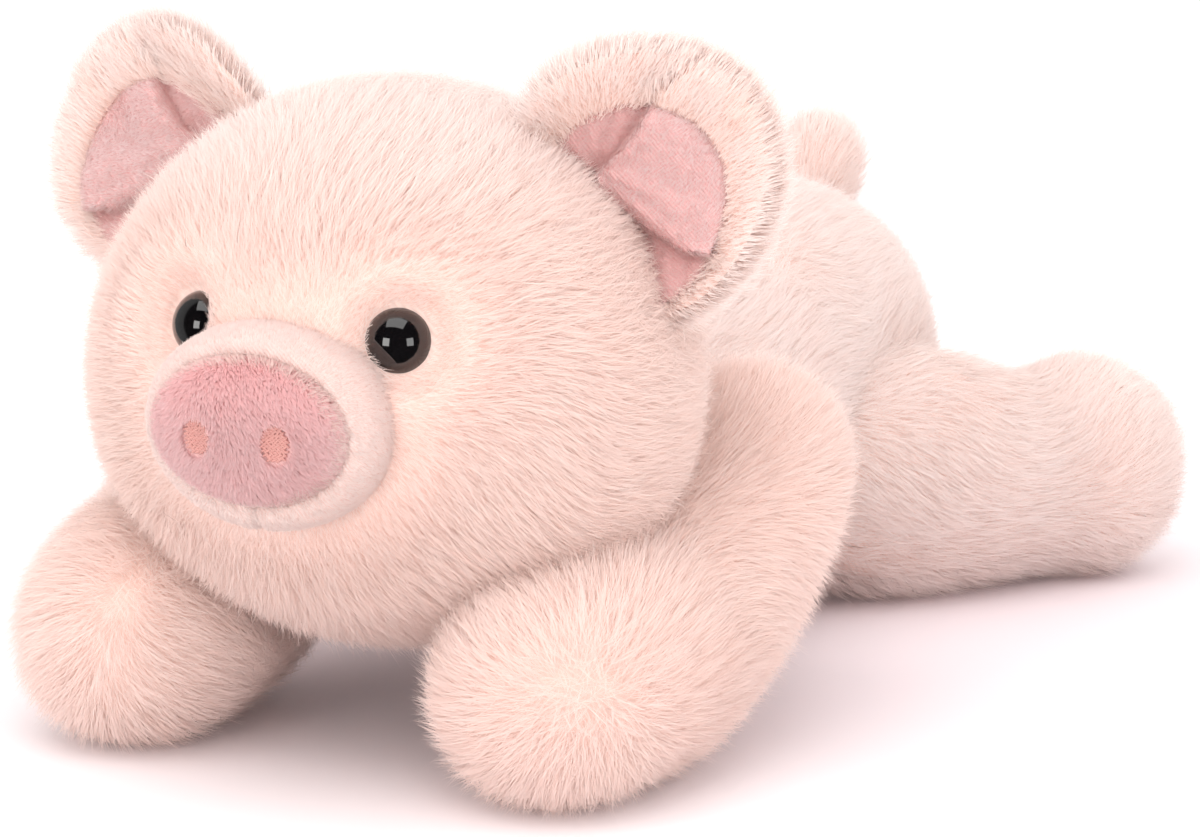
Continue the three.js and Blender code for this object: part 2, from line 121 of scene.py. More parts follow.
def new_material(name):
    material = bpy.data.materials.new(name)
    material.use_nodes = True
    material.node_tree.nodes.clear()
    return material, material.node_tree


def surface(tree, shader):
    node(tree, "ShaderNodeOutputMaterial", {}, {"Surface": shader})


bpy.context.scene.view_settings.view_transform = "Standard"
floor_size = 12
painted_shade_within, white_beyond = 120 * mm, 340 * mm
reflected_room_glow = 0.3
surround_strength = 1.28
between_eyes = Vector((0, -200, 110)) * mm
face = Vector((0, -200, 100)) * mm

bpy.ops.mesh.primitive_plane_add(size=floor_size, location=(0, 0, 0))
floor = bpy.context.object
floor.name = "floor"
floor_material, tree = new_material("white_floor")
place = node(tree, "ShaderNodeTexCoord", output="Object")
reach = node(tree, "ShaderNodeVectorMath", {"operation": "LENGTH"}, {0: place}, output="Value")
painted_shade_fade = node(
    tree,
    "ShaderNodeMapRange",
    {},
    {"Value": reach, "From Min": painted_shade_within, "From Max": white_beyond},
)
# Painted shade: the floor's colour is pinker near the toy. Lit, it still looks white, so the pink
# shows only in its shadows.
tone = node(
    tree,
    "ShaderNodeMix",
    {"data_type": "RGBA"},
    {"Factor": painted_shade_fade, "A": (0.9, 0.81, 0.84, 1), "B": (0.95, 0.95, 0.95, 1)},
    output="Result",
)
paper = node(
    tree,
    "ShaderNodeBsdfPrincipled",
    {},
    {"Base Color": tone, "Roughness": 0.6, "Specular IOR Level": 0.2},
)
# Painted reflection: to glossy rays the floor is an emission, not paper. It is dark in the camera's
# direction from the eyes and glows dimly elsewhere, as a dark room would look in a mirror.
offset = node(tree, "ShaderNodeVectorMath", {"operation": "SUBTRACT"}, {0: place, 1: between_eyes})
way_there = node(tree, "ShaderNodeVectorMath", {"operation": "NORMALIZE"}, {0: offset})
toward_camera = node(
    tree,
    "ShaderNodeVectorMath",
    {"operation": "DOT_PRODUCT"},
    {0: way_there, 1: back},
    output="Value",
)
dimmed = node(
    tree,
    "ShaderNodeMapRange",
    {"interpolation_type": "SMOOTHSTEP"},
    {"Value": toward_camera, "From Min": 0.05, "From Max": 0.25, "To Min": reflected_room_glow, "To Max": 0.01},
)
mirrored = node(tree, "ShaderNodeEmission", {}, {"Color": dimmed})
in_mirror = node(tree, "ShaderNodeLightPath", output="Is Glossy Ray")
surface(tree, node(tree, "ShaderNodeMixShader", {}, {"Fac": in_mirror, 1: paper, 2: mirrored}))
floor.data.materials.append(floor_material)

world = bpy.data.worlds.new("white_surround")
world.use_nodes = True
tree = world.node_tree
tree.nodes.clear()
direction = node(tree, "ShaderNodeTexCoord", output="Generated")
toward_camera = node(
    tree,
    "ShaderNodeVectorMath",
    {"operation": "DOT_PRODUCT"},
    {0: direction, 1: back},
    output="Value",
)
dimmed = node(
    tree,
    "ShaderNodeMapRange",
    {"interpolation_type": "SMOOTHSTEP"},
    {"Value": toward_camera, "From Min": 0.05, "From Max": 0.2, "To Min": reflected_room_glow, "To Max": 0},
)
in_mirror = node(tree, "ShaderNodeLightPath", output="Is Glossy Ray")
strength = node(
    tree,
    "ShaderNodeMix",
    {},
    {"Factor": in_mirror, "A": surround_strength, "B": dimmed},
    output="Result",
)
glow = node(
    tree, "ShaderNodeBackground", {}, {"Color": (1, 0.99, 0.985, 1), "Strength": strength}
)
node(tree, "ShaderNodeOutputWorld", {}, {"Surface": glow})
bpy.context.scene.world = world

# Where each soft box stands as seen from the face: degrees round from straight ahead, degrees
# up and metres off. Then its width, height, power and colour.
softboxes = {
    "top_box": (8, 72, 1.2, 1.1, 0.75, 4.4, (1, 0.985, 0.975)),
    "left_box": (-10, 10, 1.0, 0.36, 0.38, 1.6, (1, 0.985, 0.97)),
    "right_box": (62, 10, 1.0, 0.36, 0.38, 1.1, (1, 0.99, 0.99)),
}
for light_name, (round_by, up_by, off, wide, tall, power, tone) in softboxes.items():
    round_by, up_by = math.radians(round_by), math.radians(up_by)
    away = Vector((
        math.sin(round_by) * math.cos(up_by),
        -math.cos(round_by) * math.cos(up_by),
        math.sin(up_by),
    ))
    bpy.ops.object.light_add(type="AREA", location=face + away * off)
    light = bpy.context.object
    light.name = light_name
    light.data.shape = "RECTANGLE"
    light.data.size = wide
    light.data.size_y = tall
    light.data.energy = power
    light.data.color = tone
    light.rotation_euler = away.to_track_quat("Z", "Y").to_euler()

# Trunk: one long bag of pile cloth, stuffed round and full, that lies on its belly. It is sewn
# shut along the belly and gathered at the neck. The head presses a hollow into its front end.
pile_height = 5 * mm
cloth_off_ground = 2.5 * mm
head_sinks_in = Vector((3, 0, 3)) * mm
trunk_low, trunk_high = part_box("body_cover")
trunk_length = 2 * trunk_high.y
trunk_width = trunk_high.x - trunk_low.x
trunk_height = trunk_high.z
trunk_squareness = 2.2
# Shares of the half length from the middle to the rear, of the width, of the height, and of
# the height that the underside rises.
trunk_shares = [
    (-1, 0, 0, 0.5),
    (-0.95, 0.4, 0.4, 0.3),
    (-0.82, 0.68, 0.66, 0.14),
    (-0.58, 0.88, 0.84, 0.04),
    (-0.25, 0.98, 0.95, 0),
    (0.1, 1, 1, 0),
    (0.42, 1, 0.99, 0),
    (0.7, 0.87, 0.92, 0.01),
    (0.88, 0.62, 0.73, 0.09),
    (0.97, 0.34, 0.43, 0.23),
    (1, 0, 0, 0.44),
]


def smooth_through(rows, share):
    """Points on a smooth curve through rows, whose ends are poles that it meets squarely."""
    rows = np.asarray(rows, float)
    at = share * (len(rows) - 1)
    first = np.clip(at.astype(int), 0, len(rows) - 2)
    part = (at - first)[:, None]
    mirrored = np.array([1, 1, 1, -1, -1, -1, -1, -1, -1.0])
    rows = np.vstack([rows[1] * mirrored, rows, rows[-2] * mirrored])
    before, start, end, after = (rows[first + i] for i in range(4))
    return 0.5 * (
        2 * start
        + (end - before) * part
        + (2 * before - 5 * start + 4 * end - after) * part**2
        + (3 * start - before - 3 * end + after) * part**3
    )


def stuffed(name, rings, inset, sides=72, rows=48, squareness=2.0):
    """A round stuffed form: a sphere drawn out over rings of (middle, across, upright)."""
    bpy.ops.object.select_all(action="DESELECT")
    bpy.ops.mesh.primitive_uv_sphere_add(segments=sides, ring_count=rows, radius=1)
    piece = bpy.context.object
    piece.name = name
    in_fixed_order(piece)
    x, y, z = points_of(piece).T
    share = np.arccos(np.clip(z, -1, 1)) / np.pi
    turn = np.arctan2(y, x)
    curve = smooth_through([(*m, *a, *u) for m, a, u in rings], share)
    bulge = 2 / squareness
    sideways = np.sign(np.cos(turn)) * np.abs(np.cos(turn)) ** bulge
    upwards = np.sign(np.sin(turn)) * np.abs(np.sin(turn)) ** bulge
    reshape(
        piece,
        curve[:, :3] + curve[:, 3:6] * sideways[:, None] + curve[:, 6:] * upwards[:, None],
    )
    bpy.ops.object.mode_set(mode="EDIT")
    bpy.ops.mesh.select_all(action="SELECT")
    bpy.ops.mesh.normals_make_consistent(inside=False)
    if inset:
        bpy.ops.transform.shrink_fatten(value=-inset)
    bpy.ops.object.mode_set(mode="OBJECT")
    bpy.ops.object.shade_smooth()
    return piece


def points_of(piece):
    points = np.empty(len(piece.data.vertices) * 3)
    piece.data.vertices.foreach_get("co", points)
    return points.reshape(-1, 3)


def normals_of(piece):
    normals = np.empty(len(piece.data.vertices) * 3)
    piece.data.vertices.foreach_get("normal", normals)
    return normals.reshape(-1, 3)


def faces_of(piece):
    return sorted(tuple(face.vertices) for face in piece.data.polygons)


def in_fixed_order(piece):
    """Sorts a new mesh's faces. Blender makes a sphere's faces in a new order each run, and the
    fibres' places are drawn over them."""
    points, faces = points_of(piece).tolist(), faces_of(piece)
    piece.data.clear_geometry()
    piece.data.from_pydata(points, [], faces)


def reshape(piece, points):
    piece.data.vertices.foreach_set("co", np.asarray(points, float).ravel())
    piece.data.update()


def pressed(piece, middle, radii):
    """Pushes what lies inside an ellipsoid out to its surface, as a neighbour dents soft cloth."""
    points = points_of(piece)
    offset = (points - np.array(middle)) / np.array(radii)
    depth = np.linalg.norm(offset, axis=1)
    inside = depth < 1
    points[inside] = np.array(middle) + offset[inside] / depth[inside, None] * np.array(radii)
    reshape(piece, points)


def settled(piece, height):
    """Flattens what lies under a height, as the ground does."""
    points = points_of(piece)
    points[:, 2] = np.maximum(points[:, 2], height)
    reshape(piece, points)


def rings_along(shares, middle_of, across, upright):
    """Rings of a form from its table: where each middle is, and its half width and height."""
    return [
        (middle_of(row), np.array(across) * row[1] / 2, np.array(upright) * row[2] / 2)
        for row in shares
    ]


def srgb(red, green, blue):
    """A colour as a picture gives it, 0 to 255, as the linear one that a shader wants."""
    shares = np.array([red, green, blue]) / 255
    return tuple(np.where(shares <= 0.04045, shares / 12.92, ((shares + 0.055) / 1.055) ** 2.4))


def cloth_material(name, colour, deep, rib=1.1 * mm):
    """The knitted backing that the pile is set in: a fine rib with paler and darker rows."""
    rib_share, blotch_share = 0.35, 0.5
    material, tree = new_material(name)
    place = node(tree, "ShaderNodeTexCoord", output="Object")
    rows = node(
        tree,
        "ShaderNodeTexWave",
        {"wave_type": "BANDS", "bands_direction": "DIAGONAL"},
        {"Vector": place, "Scale": 0.3 / rib, "Distortion": 2.0, "Detail": 2.0},
        output="Fac",
    )
    blotch = node(tree, "ShaderNodeTexNoise", {}, {"Vector": place, "Scale": 60.0, "Detail": 3.0})
    tone = node(
        tree,
        "ShaderNodeMix",
        {"data_type": "RGBA"},
        {"Factor": rows * rib_share + blotch * blotch_share, "A": (*colour, 1), "B": (*deep, 1)},
        output="Result",
    )
    bump = node(tree, "ShaderNodeBump", {}, {"Strength": 0.4, "Distance": 0.0004, "Height": rows})
    surface(tree, node(
        tree,
        "ShaderNodeBsdfPrincipled",
        {},
        {"Base Color": tone, "Roughness": 0.9, "Specular IOR Level": 0.15, "Normal": bump},
    ))
    return material


cloth = cloth_material("pile_backing", srgb(250, 224, 214), srgb(246, 212, 201))

head_low, head_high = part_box("head_cover")
head_middle = (head_low + head_high) / 2
head_radii = (head_high - head_low) / 2

trunk_rings = rings_along(
    trunk_shares,
    lambda row: np.array([0, row[0] * trunk_length / 2, (row[3] + row[2] / 2) * trunk_height]),
    (trunk_width, 0, 0),
    (0, 0, trunk_height),
)
trunk = stuffed("body_cloth", trunk_rings, pile_height, squareness=trunk_squareness)
pressed(trunk, head_middle, head_radii - head_sinks_in)
settled(trunk, cloth_off_ground)
trunk.data.materials.append(cloth)
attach(trunk, "trunk")
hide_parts("body_cover", "body_stuffing")

# Neck: the gathered stump of cloth, stuffed hard, that joins the head to the trunk. It is out
# of sight while the head is down.
neck_low, neck_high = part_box("neck_stuffing")
neck_gathers, gather_share = 14, 0.03
bpy.ops.object.select_all(action="DESELECT")
bpy.ops.mesh.primitive_uv_sphere_add(segments=48, ring_count=32, radius=1)
neck = bpy.context.object
neck.name = "neck_cloth"
in_fixed_order(neck)
sphere = points_of(neck)
gathers = 1 - gather_share * (1 + np.cos(neck_gathers * np.arctan2(sphere[:, 2], sphere[:, 0])))
neck_centre = np.array((neck_low + neck_high) / 2)
neck_radii = np.array((neck_high - neck_low) / 2)
reshape(neck, neck_centre + sphere * neck_radii * gathers[:, None])
bpy.ops.object.shade_smooth()
neck.data.materials.append(cloth)
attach(neck, "neck")
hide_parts("neck_stuffing")

# Head: a ball of the same cloth, a little wider than high. The pile is shorn close round the
# eyes and the snout, so the cloth lies nearer to the outside there.
head_shares = [
    (0, 0, 0, 0.02),
    (0.05, 0.42, 0.42, 0.02),
    (0.15, 0.74, 0.72, 0.02),
    (0.28, 0.93, 0.9, 0.015),
    (0.42, 1, 0.99, 0.01),
    (0.57, 0.99, 1, 0),
    (0.72, 0.89, 0.92, -0.01),
    (0.86, 0.68, 0.72, -0.02),
    (0.96, 0.38, 0.41, -0.02),
    (1, 0, 0, -0.02),
]
head_depth = 122 * mm
head_forward = 157 * mm
head_height = head_high.z - head_low.z
shorn_height = 2.5 * mm
ways = {"left": 1, "right": -1}
eye_places = {side: np.array([way * 26, -201.5, 109]) * mm for side, way in ways.items()}
eye_turn, eye_rise = math.radians(25), math.radians(16)
looks = {
    side: np.array([
        way * math.sin(eye_turn) * math.cos(eye_rise),
        -math.cos(eye_turn) * math.cos(eye_rise),
        math.sin(eye_rise),
    ])
    for side, way in ways.items()
}
hollow_radius = 20 * mm
hollow_stand = 3.5 * mm
snout_place = np.array([0, -214, 90.5]) * mm
# Where the pile is shorn: how far from each eye's middle, and round the snout to how many times
# its own half sizes.
eye_shorn, eye_full = 10 * mm, 27 * mm
snout_shorn, snout_full = 1.0, 1.7
snout_half_sizes = np.array([30, 30, 24]) * mm


def eased(values, start, end):
    """0 up to start, 1 from end on, and smooth between them."""
    share = np.clip((values - start) / (end - start), 0, 1)
    return share * share * (3 - 2 * share)


def face_fullness(points):
    """How much of the full pile grows at each point: little round the eyes and the snout."""
    full = np.ones(len(points))
    for place in eye_places.values():
        full = np.minimum(full, eased(np.linalg.norm(points - place, axis=1), eye_shorn, eye_full))
    spread = (points - snout_place) / snout_half_sizes
    return np.minimum(full, eased(np.linalg.norm(spread, axis=1), snout_shorn, snout_full))


def drawn_in(piece, middle, radius, soft=1 * mm):
    """Presses a ball into a skin, with a soft edge, as a pulled stitch or post draws it in."""
    offset = points_of(piece) - middle
    apart = np.linalg.norm(offset, axis=1, keepdims=True)
    kept = radius + soft * np.logaddexp(0, (apart - radius) / soft)
    reshape(piece, middle + offset / apart * kept)


head_rings = rings_along(
    head_shares,
    lambda row: np.array([
        0,
        -head_forward - row[3] * head_depth,
        head_low.z + row[0] * head_height,
    ]),
    (head_high.x - head_low.x, 0, 0),
    (0, head_depth, 0),
)
head = stuffed("head_cloth", head_rings, shorn_height, sides=144, rows=96)
points = points_of(head)
deeper = (pile_height - shorn_height) * face_fullness(points)[:, None]
reshape(head, points - normals_of(head) * deeper)
for side, look in looks.items():
    drawn_in(
        head,
        eye_places[side] + look * (hollow_radius + hollow_stand),
        hollow_radius + shorn_height,
    )
head.data.materials.append(cloth)
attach(head, "head")
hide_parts("head_cover", "head_stuffing")

# Arms and legs: stuffed bags of the same cloth, sewn into the trunk. The arms reach forward
# under the cheeks and end in round paws, and the legs lie splayed out behind.
# Shares of the length, of the width, of the height, and of the height that the underside rises.
arm_shares = [
    (-0.4, 0, 0, 1.12),
    (-0.34, 0.44, 0.42, 0.9),
    (-0.18, 0.76, 0.8, 0.66),
    (0.06, 0.94, 1.02, 0.42),
    (0.34, 0.98, 1.08, 0.14),
    (0.64, 1, 1.02, 0),
    (0.92, 0.98, 0.98, 0),
    (1.14, 0.84, 0.86, 0.02),
    (1.29, 0.56, 0.6, 0.14),
    (1.35, 0.28, 0.32, 0.28),
    (1.37, 0, 0, 0.46),
]
leg_shares = [
    (-0.42, 0, 0, 0.6),
    (-0.34, 0.5, 0.5, 0.34),
    (-0.12, 0.86, 0.9, 0.1),
    (0.2, 1, 1.04, 0),
    (0.52, 1, 1, 0),
    (0.8, 0.88, 0.88, 0.02),
    (1.1, 0.94, 0.94, 0),
    (1.34, 0.66, 0.68, 0.12),
    (1.43, 0.34, 0.36, 0.28),
    (1.46, 0, 0, 0.46),
]
# How far out and back each is rooted, the degrees it turns out from straight ahead, its
# length, width and height.
limb_sizes = {
    "arm": (67.5, -104, -7, 80, 65, 60, arm_shares),
    "leg": (50, 8, 140, 77, 56, 68, leg_shares),
}
limbs, headings = {}, {}
for kind, (out, back_by, splay, length, width, height, shares) in limb_sizes.items():
    for side, way in ways.items():
        turn = math.radians(splay)
        heading = np.array([way * math.sin(turn), -math.cos(turn), 0])
        root = np.array([way * out, back_by, 0])
        limb_rings = rings_along(
            shares,
            lambda row: (
                root + heading * row[0] * length + np.array([0, 0, (row[3] + row[2] / 2) * height])
            ) * mm,
            np.cross(heading, (0, 0, 1)) * width * mm,
            (0, 0, height * mm),
        )
        limb = stuffed(f"{kind}_cloth_{side}", limb_rings, pile_height, sides=56, rows=40)
        settled(limb, cloth_off_ground)
        limb.data.materials.append(cloth)
        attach(limb, f"{kind}_{side}")
        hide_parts(f"{kind}_cover_{side}", f"{kind}_stuffing_{side}")
        limbs[kind, side] = limb
        headings[kind, side] = heading

# Tail: a small soft bag of the same cloth, lightly stuffed. It is sewn to the top of the rump,
# stands up from it and leans back.
tail_shares = [
    (-0.56, 0, 0),
    (-0.46, 0.5, 0.5),
    (-0.16, 0.78, 0.78),
    (0.16, 0.86, 0.86),
    (0.46, 0.98, 0.98),
    (0.74, 0.93, 0.93),
    (0.92, 0.6, 0.6),
    (1, 0, 0),
]
tail_root = np.array([0, 106, 93]) * mm
tail_length, tail_width = 34 * mm, 26 * mm
tail_lean = math.radians(35)
tail_pile_height = 3 * mm
tail_heading = np.array([0, math.sin(tail_lean), math.cos(tail_lean)])
tail_rings = rings_along(
    tail_shares,
    lambda row: tail_root + tail_heading * row[0] * tail_length,
    (tail_width, 0, 0),
    np.cross(tail_heading, (1, 0, 0)) * tail_width,
)
tail = stuffed("tail_cloth", tail_rings, tail_pile_height, sides=32, rows=24)
tail.data.materials.append(cloth)
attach(tail, "tail")
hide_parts("tail_cover", "tail_stuffing")

# Ear backs: flat bags of pile cloth, cupped forward and barely stuffed. The roots are sewn into
# the top of the head.
ear_root = np.array([51, -149, 129.5]) * mm
ear_turn = math.radians(49)
ear_width, ear_reach, ear_thickness = 55 * mm, 49.5 * mm, 9.5 * mm
# The sides come forward by the cup's depth at half its span from the middle.
ear_cup, half_cup_span = 11 * mm, 30 * mm
tuck_depth = 3.6 * mm
# Shares of the reach, of the width and of the thickness.
ear_shares = [
    (-0.1, 0, 0),
    (-0.04, 0.8, 0.55),
    (0.18, 1.06, 0.8),
    (0.42, 1.1, 1),
    (0.66, 0.98, 0.95),
    (0.86, 0.7, 0.75),
    (0.97, 0.34, 0.42),
    (1, 0, 0),
]


def cupped(points):
    """How far forward the ear is cupped at each point."""
    return ear_cup * (points[:, 0] / half_cup_span) ** 2


def ear_form(name, width, reach, thickness, forward):
    """A cupped flat form in the ear's own frame: x along the root, y back and z out to the tip."""
    rings = rings_along(
        ear_shares,
        lambda row: np.array([0, -forward, row[0] * reach]),
        (width, 0, 0),
        (0, thickness, 0),
    )
    piece = stuffed(name, rings, 0, sides=96, rows=72)
    points = points_of(piece)
    in_front = points[:, 1] < -forward
    points[:, 1] -= cupped(points)
    reshape(piece, points)
    return piece, in_front


def folded(x, z):
    """How far the front of an ear lies back at places in mm, as a share of the tuck's depth, and how
    far the tuck's line is. A full lobe swells in the middle, and the cloth is tucked in under it
    toward the crown and below."""
    edge_width, fading_width = 1.8, 9
    tuck = [(-13, 36), (-9, 27), (-7.4, 19), (-7.5, 12), (-6, 8.5), (1, 11.5), (10, 14.5), (20, 20)]
    nearest = np.full(len(x), np.inf)
    for (x0, z0), (x1, z1) in zip(tuck, tuck[1:]):
        run = np.array([x1 - x0, z1 - z0])
        share = np.clip(((x - x0) * run[0] + (z - z0) * run[1]) / (run @ run), 0, 1)
        nearest = np.minimum(nearest, np.hypot(x - x0 - share * run[0], z - z0 - share * run[1]))
    inner_edge = np.interp(z, [8, 12, 19, 27, 36], [-6, -7.5, -7.4, -9, -13])
    low_edge = np.interp(x, [-6, 1, 10, 20, 26], [8.5, 11.5, 14.5, 20, 26])
    beyond = (x < inner_edge) | (z < low_edge)
    tucked = eased(nearest, 0, edge_width) * np.exp(-nearest / fading_width)
    return np.where(beyond, tucked, 0), nearest


def set_on_head(piece, points, way):
    """Moves a form's points from the ear's own frame to the toy's. A mirrored form's faces are
    turned to point out again."""
    reshape(piece, points @ ear_axes(way) + ear_root * np.array([way, 1, 1]))
    if way < 0:
        piece.data.flip_normals()


def ear_axes(way):
    """The ear's own three axes. The right ear is the left one's mirror image."""
    return np.array([
        [way * math.cos(ear_turn), 0, -math.sin(ear_turn)],
        [0, 1, 0],
        [way * math.sin(ear_turn), 0, math.cos(ear_turn)],
    ])


ears = {}
for side, way in ways.items():
    ear, in_front = ear_form(f"ear_cloth_{side}", ear_width, ear_reach, ear_thickness, 0)
    points = points_of(ear)
    tucked, _ = folded(points[:, 0] / mm, points[:, 2] / mm)
    points[:, 1] += tuck_depth * tucked * in_front
    set_on_head(ear, points, way)
    ear.data.materials.append(cloth)
    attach(ear, f"ear_{side}")
    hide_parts(f"ear_back_{side}")
    ears[side] = ear

# Long pile of the trunk: fine soft fibres set in the cloth all over, brushed back and a little
# up, and drawn into small tufts. It is a mesh of tapered ribbons, since no solid can look like
# fur.
long_fibre = 12.5 * mm


def strand_material(name, root, middle, tip, warmth_and_shade, through, share=0.5):
    """Fibres: painted darker at the root, as the shade deep in the pile, and paler at the tip. Some
    are warmer than others, and in places callers paint light or shade with that tint. Light passes
    through them. The map has each fibre's tint along and its length up."""
    material, tree = new_material(name)
    place = node(tree, "ShaderNodeUVMap", {"uv_map": "OFBake"})
    tint = node(tree, "ShaderNodeSeparateXYZ", {}, {"Vector": place}, output="X")
    along = node(tree, "ShaderNodeSeparateXYZ", {}, {"Vector": place}, output="Y")
    # Painted shade: the ramp darkens each fibre toward its root, where the pile round it shades it.
    shade = node(
        tree,
        "ShaderNodeValToRGB",
        {"stops": [(0.0, root), (0.45, middle), (0.95, tip)]},
        {"Fac": along},
    )
    colour = node(
        tree,
        "ShaderNodeMix",
        {"data_type": "RGBA", "blend_type": "MULTIPLY"},
        {"Factor": tint, "A": shade, "B": (*warmth_and_shade, 1)},
        output="Result",
    )
    fibre = node(
        tree,
        "ShaderNodeBsdfPrincipled",
        {},
        {
            "Base Color": colour,
            "Roughness": 0.75,
            "Specular IOR Level": 0.2,
            "Sheen Weight": 0.2,
            "Sheen Roughness": 0.4,
        },
    )
    glow = node(tree, "ShaderNodeBsdfTranslucent", {}, {"Color": (*through, 1)})
    surface(tree, node(tree, "ShaderNodeMixShader", {}, {"Fac": share, 1: fibre, 2: glow}))
    return material


def swirl(points, size, seed):
    """A smooth wandering direction at each point, for pile that lies a little unevenly."""
    dice = np.random.default_rng(seed)
    total = np.zeros_like(points)
    waves = 6
    for _ in range(waves):
        wave = dice.normal(size=(3, 3)) / size
        total += np.sin(points @ wave + dice.uniform(0, 2 * np.pi, 3))
    return total / math.sqrt(waves)


def unit(vectors):
    return vectors / np.maximum(np.linalg.norm(vectors, axis=1, keepdims=True), 1e-9)


def outside(points, skins):
    """Which points lie outside every one of these closed skins."""
    clear = np.ones(len(points), bool)
    for skin in skins:
        corners = points_of(skin)
        low, high = corners.min(0), corners.max(0)
        near = np.flatnonzero(clear & (points > low).all(1) & (points < high).all(1))
        closed = BVHTree.FromPolygons(corners.tolist(), faces_of(skin))
        for i in near:
            spot, normal, _, _ = closed.find_nearest(points[i])
            if (Vector(points[i]) - spot).dot(normal) < 0:
                clear[i] = False
    return clear


def roots_on(skin, per_square_mm, seed, hidden_by=()):
    """Places and directions where fibres leave a skin, spread evenly over what shows of it. Few grow
    next to the ground."""
    ground_reach, kept_near_ground = 6 * mm, 0.3
    dice = np.random.default_rng(seed)
    mesh = skin.data
    mesh.calc_loop_triangles()
    corners = np.empty(len(mesh.loop_triangles) * 3, np.int64)
    mesh.loop_triangles.foreach_get("vertices", corners)
    corners = corners.reshape(-1, 3)
    places = points_of(skin)[corners]
    normals = normals_of(skin)[corners]
    area = 0.5 * np.linalg.norm(
        np.cross(places[:, 1] - places[:, 0], places[:, 2] - places[:, 0]), axis=1
    )
    count = int(area.sum() / mm**2 * per_square_mm)
    chosen = dice.choice(len(area), count, p=area / area.sum())
    weights = dice.dirichlet((1, 1, 1), count)[:, :, None]
    roots = (places[chosen] * weights).sum(1)
    grown = (roots[:, 2] > ground_reach) | (dice.random(count) < kept_near_ground)
    shown = outside(roots, hidden_by) & grown
    return roots[shown], unit((normals[chosen] * weights).sum(1))[shown]


def pile(name, roots, normals, comb, length, seed, material, lean=63, width=0.19, clump=2.4,
         pull=0.25, uneven=0.3, parts=1, tint_and_shade_by=0):
    """Fibres as narrow tapered ribbons: each leaves the cloth, leans over along the comb and is
    drawn with its neighbours into tufts. Widths and tufts are in mm, and leans in degrees."""
    stray_share, lowest = 0.05, 0.3 * mm
    root_lean_share, tip_lean_share = 0.62, 1.3
    dice = np.random.default_rng(seed)
    count = len(roots)
    length = np.broadcast_to(np.asarray(length, float), count) * dice.uniform(0.68, 1.2, count)
    comb = comb + uneven * swirl(roots, 14 * mm, seed + 1) + 0.2 * dice.normal(size=(count, 3))
    comb = unit(comb - (comb * normals).sum(1, keepdims=True) * normals)
    stray = dice.random(count) < stray_share
    lean = np.radians(lean) * dice.uniform(0.85, 1.12, count) * np.where(stray, 0.65, 1)
    rise, fall = root_lean_share * lean, tip_lean_share * lean
    half = (0.5 * length)[:, None]
    knee = roots + half * (np.cos(rise)[:, None] * normals + np.sin(rise)[:, None] * comb)
    tip = knee + half * (np.cos(fall)[:, None] * normals + np.sin(fall)[:, None] * comb)
    cell = np.floor((tip + 0.5 * clump * mm * swirl(tip, 5 * mm, seed + 2)) / (clump * mm))
    _, tuft = np.unique(cell.astype(np.int64), axis=0, return_inverse=True)
    tuft = tuft.ravel()
    members = np.bincount(tuft)[:, None]
    centre = np.stack([np.bincount(tuft, tip[:, i]) for i in range(3)], 1) / members
    drawn = (pull * dice.uniform(0.4, 1.2, count) * ~stray)[:, None]
    knee = knee + (centre[tuft] - tip) * drawn * 0.2
    tip = tip + (centre[tuft] - tip) * drawn
    for point in (knee, tip):
        point[:, 2] = np.maximum(point[:, 2], lowest)
    along = unit(tip - roots)
    side = unit(np.cross(along, normals))
    roll = dice.normal(0, 0.4, count)[:, None]
    side = side * np.cos(roll) + np.cross(along, side) * np.sin(roll)
    thinner = dice.uniform(0.75, 1.2, count) * np.where(stray, 0.6, 1)
    wide = side * (width * mm / 2) * thinner[:, None]
    # A fibre is lit as the pile round it is, and more as itself the more it stands up.
    facing = unit(np.cross(side, along))
    facing *= np.sign((facing * normals).sum(1, keepdims=True) + 1e-9)
    standing = (1 - np.abs((facing * normals).sum(1, keepdims=True))) ** 2
    shading = (1 - standing) * normals + (0.2 + standing) * facing
    shading = unit(shading + 0.06 * dice.normal(size=(count, 3)))
    # Each fibre's tint is random by tuft and by fibre, plus the caller's share, which in places is
    # painted light or shade.
    tuft_tint = dice.uniform(0, 1, len(members))[tuft]
    tint = np.clip(0.25 * tuft_tint + 0.15 * dice.uniform(0, 1, count) + 0.6 * tint_and_shade_by, 0.01, 0.99)
    corners = np.stack([roots, knee - wide, knee + wide, tip], 1)
    pieces = []
    for part, chosen in enumerate(np.array_split(np.arange(count), parts)):
        label = name if parts == 1 else f"{name}_{part + 1}"
        pieces.append(strands(label, corners[chosen], shading[chosen], tint[chosen], material))
    return pieces


def strands(name, corners, shading, tint, material):
    """The mesh of a set of fibres: each is pointed at both ends and made of two triangles."""
    count = len(corners)
    mesh = bpy.data.meshes.new(name)
    mesh.vertices.add(count * 4)
    mesh.vertices.foreach_set("co", corners.astype(np.float32).ravel())
    loops = [0, 2, 1, 1, 2, 3]
    mesh.loops.add(count * 6)
    mesh.loops.foreach_set("vertex_index", ((np.arange(count) * 4)[:, None] + loops).ravel())
    mesh.polygons.add(count * 2)
    mesh.polygons.foreach_set("loop_start", np.arange(count * 2) * 3)
    uv = mesh.uv_layers.new(name="OFBake")
    heights = np.array([0.01, 0.5, 0.5, 0.99])[loops]
    map_points = np.stack([np.repeat(tint, 6), np.tile(heights, count)], 1)
    uv.data.foreach_set("uv", map_points.astype(np.float32).ravel())
    mesh.update(calc_edges=True)
    mesh.polygons.foreach_set("use_smooth", np.ones(count * 2, bool))
    mesh.normals_split_custom_set_from_vertices(np.repeat(shading, 4, axis=0))
    mesh.materials.append(material)
    piece = bpy.data.objects.new(name, mesh)
    bpy.context.scene.collection.objects.link(piece)
    return piece


